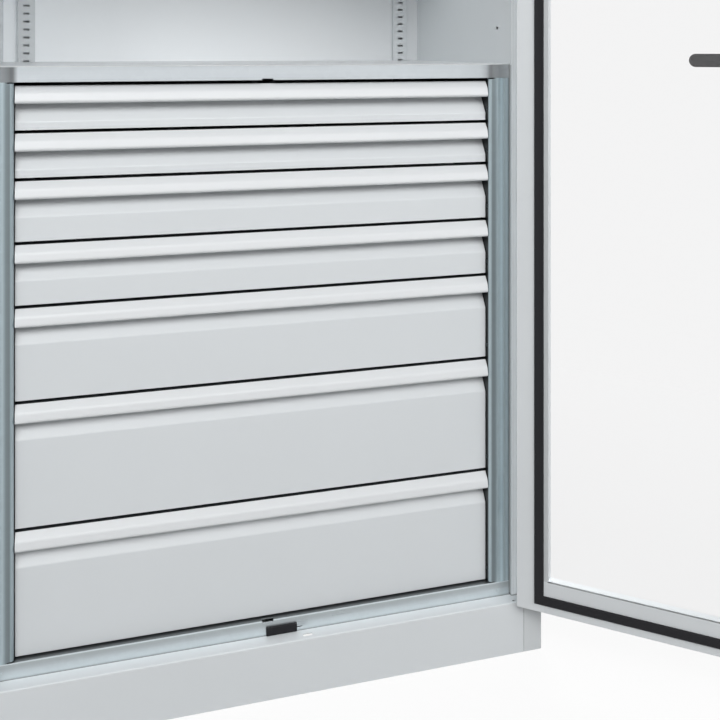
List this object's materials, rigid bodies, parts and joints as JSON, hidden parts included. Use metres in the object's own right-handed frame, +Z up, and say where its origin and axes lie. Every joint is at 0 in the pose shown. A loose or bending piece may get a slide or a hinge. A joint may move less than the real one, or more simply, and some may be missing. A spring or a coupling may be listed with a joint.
{
  "type": "tool cabinet with glazed doors and drawers",
  "caption": "Tall light-grey steel tool cabinet: glazed wing doors, full-width drawers with grip strips in a galvanised housing, shelves above.",
  "frame": {"origin": "on the floor, at the middle of the plinth's front face", "axes": "+X to the right of someone facing the doors, +Y back into the cabinet, +Z up"},
  "size_m": [1.5616, 0.8695, 1.95],
  "materials": {
    "carcass_paint": "light grey powder coat, satin",
    "door_paint": "light grey powder coat, satin",
    "drawer_paint": "light grey powder coat, satin",
    "grip_paint": "light grey powder coat on the handle strip",
    "tray_paint": "light grey powder coat",
    "galvanised_sheet": "bare galvanised sheet, bluish grey",
    "slide_steel": "zinc-plated steel",
    "black_rubber": "matt black rubber",
    "clear_pane": "clear, very slightly grey",
    "black_plastic": "fine-grained black",
    "lock_chrome": "polished"
  },
  "bodies": {
    "carcass": {"side_panel_left": "carcass_paint", "side_panel_right": "carcass_paint", "back_panel": "carcass_paint", "top_panel": "carcass_paint", "plinth_sill": "carcass_paint", "base_panel": "carcass_paint", "divider_shelf": "carcass_paint", "housing_side_left": "galvanised_sheet", "housing_side_right": "galvanised_sheet", "bottom_rail": "galvanised_sheet", "top_rail": "galvanised_sheet", "rail_screws": "slide_steel", "door_bumper": "black_rubber", "fixed_runners": "slide_steel", "rear_uprights": "carcass_paint", "shelf_lower": "carcass_paint", "shelf_upper": "carcass_paint", "shelf_clips": "slide_steel", "hinge_leaves": "carcass_paint", "hinge_pins": "slide_steel"},
    "left_door": {"door_left_frame": "door_paint", "door_left_pane": "clear_pane", "door_left_gasket": "black_rubber"},
    "right_door": {"door_right_frame": "door_paint", "door_right_pane": "clear_pane", "door_right_gasket": "black_rubber", "lock_plate": "black_plastic", "lock_case": "slide_steel"},
    "lever": {"lock_lever": "black_plastic"},
    "key_cylinder": {"lock_cylinder": "lock_chrome"},
    "lower_rod": {"lock_rod_lower": "slide_steel"},
    "upper_rod": {"lock_rod_upper": "slide_steel"},
    "drawer_1": {"drawer_1_front": "drawer_paint", "drawer_1_grip": "grip_paint", "drawer_1_tray": "tray_paint"},
    "slides_1": {"drawer_1_slides": "slide_steel"},
    "drawer_2": {"drawer_2_front": "drawer_paint", "drawer_2_grip": "grip_paint", "drawer_2_tray": "tray_paint"},
    "slides_2": {"drawer_2_slides": "slide_steel"},
    "drawer_3": {"drawer_3_front": "drawer_paint", "drawer_3_grip": "grip_paint", "drawer_3_tray": "tray_paint"},
    "slides_3": {"drawer_3_slides": "slide_steel"},
    "drawer_4": {"drawer_4_front": "drawer_paint", "drawer_4_grip": "grip_paint", "drawer_4_tray": "tray_paint"},
    "slides_4": {"drawer_4_slides": "slide_steel"},
    "drawer_5": {"drawer_5_front": "drawer_paint", "drawer_5_grip": "grip_paint", "drawer_5_tray": "tray_paint"},
    "slides_5": {"drawer_5_slides": "slide_steel"},
    "drawer_6": {"drawer_6_front": "drawer_paint", "drawer_6_grip": "grip_paint", "drawer_6_tray": "tray_paint"},
    "slides_6": {"drawer_6_slides": "slide_steel"},
    "drawer_7": {"drawer_7_front": "drawer_paint", "drawer_7_grip": "grip_paint", "drawer_7_tray": "tray_paint"},
    "slides_7": {"drawer_7_slides": "slide_steel"}
  },
  "joints": [
    {"name": "left_door_hinge", "type": "hinge", "parent": "carcass", "child": "left_door", "pos_m": [-0.4505, -0.0006, 1], "axis": [0, 0, -1], "range_deg": [-137.5, 37.5]},
    {"name": "right_door_hinge", "type": "hinge", "parent": "carcass", "child": "right_door", "pos_m": [0.4505, -0.0006, 1], "axis": [0, 0, 1], "range_deg": [-137.5, 37.5]},
    {"name": "lever_turn", "type": "hinge", "parent": "right_door", "child": "lever", "pos_m": [0.73435, -0.26219, 1.05], "axis": [0.6756, 0.7373, 0], "range_deg": [-90, 0]},
    {"name": "key_turn", "type": "hinge", "parent": "right_door", "child": "key_cylinder", "pos_m": [0.73435, -0.26219, 0.98], "axis": [0.6756, 0.7373, 0], "range_deg": [0, 90]},
    {"name": "lower_rod_slide", "type": "slide", "parent": "right_door", "child": "lower_rod", "axis": [0, 0, -1], "range_m": [0, 0.014]},
    {"name": "upper_rod_slide", "type": "slide", "parent": "right_door", "child": "upper_rod", "axis": [0, 0, 1], "range_m": [0, 0.014]},
    {"name": "drawer_1_slide", "type": "slide", "parent": "carcass", "child": "drawer_1", "axis": [0, -1, 0], "range_m": [0, 0.385]},
    {"name": "slides_1_slide", "type": "slide", "parent": "carcass", "child": "slides_1", "axis": [0, -1, 0], "range_m": [0, 0.1925]},
    {"name": "drawer_2_slide", "type": "slide", "parent": "carcass", "child": "drawer_2", "axis": [0, -1, 0], "range_m": [0, 0.385]},
    {"name": "slides_2_slide", "type": "slide", "parent": "carcass", "child": "slides_2", "axis": [0, -1, 0], "range_m": [0, 0.1925]},
    {"name": "drawer_3_slide", "type": "slide", "parent": "carcass", "child": "drawer_3", "axis": [0, -1, 0], "range_m": [0, 0.385]},
    {"name": "slides_3_slide", "type": "slide", "parent": "carcass", "child": "slides_3", "axis": [0, -1, 0], "range_m": [0, 0.1925]},
    {"name": "drawer_4_slide", "type": "slide", "parent": "carcass", "child": "drawer_4", "axis": [0, -1, 0], "range_m": [0, 0.385]},
    {"name": "slides_4_slide", "type": "slide", "parent": "carcass", "child": "slides_4", "axis": [0, -1, 0], "range_m": [0, 0.1925]},
    {"name": "drawer_5_slide", "type": "slide", "parent": "carcass", "child": "drawer_5", "axis": [0, -1, 0], "range_m": [0, 0.385]},
    {"name": "slides_5_slide", "type": "slide", "parent": "carcass", "child": "slides_5", "axis": [0, -1, 0], "range_m": [0, 0.1925]},
    {"name": "drawer_6_slide", "type": "slide", "parent": "carcass", "child": "drawer_6", "axis": [0, -1, 0], "range_m": [0, 0.385]},
    {"name": "slides_6_slide", "type": "slide", "parent": "carcass", "child": "slides_6", "axis": [0, -1, 0], "range_m": [0, 0.1925]},
    {"name": "drawer_7_slide", "type": "slide", "parent": "carcass", "child": "drawer_7", "axis": [0, -1, 0], "range_m": [0, 0.385]},
    {"name": "slides_7_slide", "type": "slide", "parent": "carcass", "child": "slides_7", "axis": [0, -1, 0], "range_m": [0, 0.1925]}
  ],
  "couplings": [
    {"joint": "lower_rod_slide", "follows": "lever_turn", "m_per_rad": -0.0089},
    {"joint": "upper_rod_slide", "follows": "lever_turn", "m_per_rad": -0.0089},
    {"joint": "slides_1_slide", "follows": "drawer_1_slide", "ratio": 0.5},
    {"joint": "slides_2_slide", "follows": "drawer_2_slide", "ratio": 0.5},
    {"joint": "slides_3_slide", "follows": "drawer_3_slide", "ratio": 0.5},
    {"joint": "slides_4_slide", "follows": "drawer_4_slide", "ratio": 0.5},
    {"joint": "slides_5_slide", "follows": "drawer_5_slide", "ratio": 0.5},
    {"joint": "slides_6_slide", "follows": "drawer_6_slide", "ratio": 0.5},
    {"joint": "slides_7_slide", "follows": "drawer_7_slide", "ratio": 0.5}
  ]
}
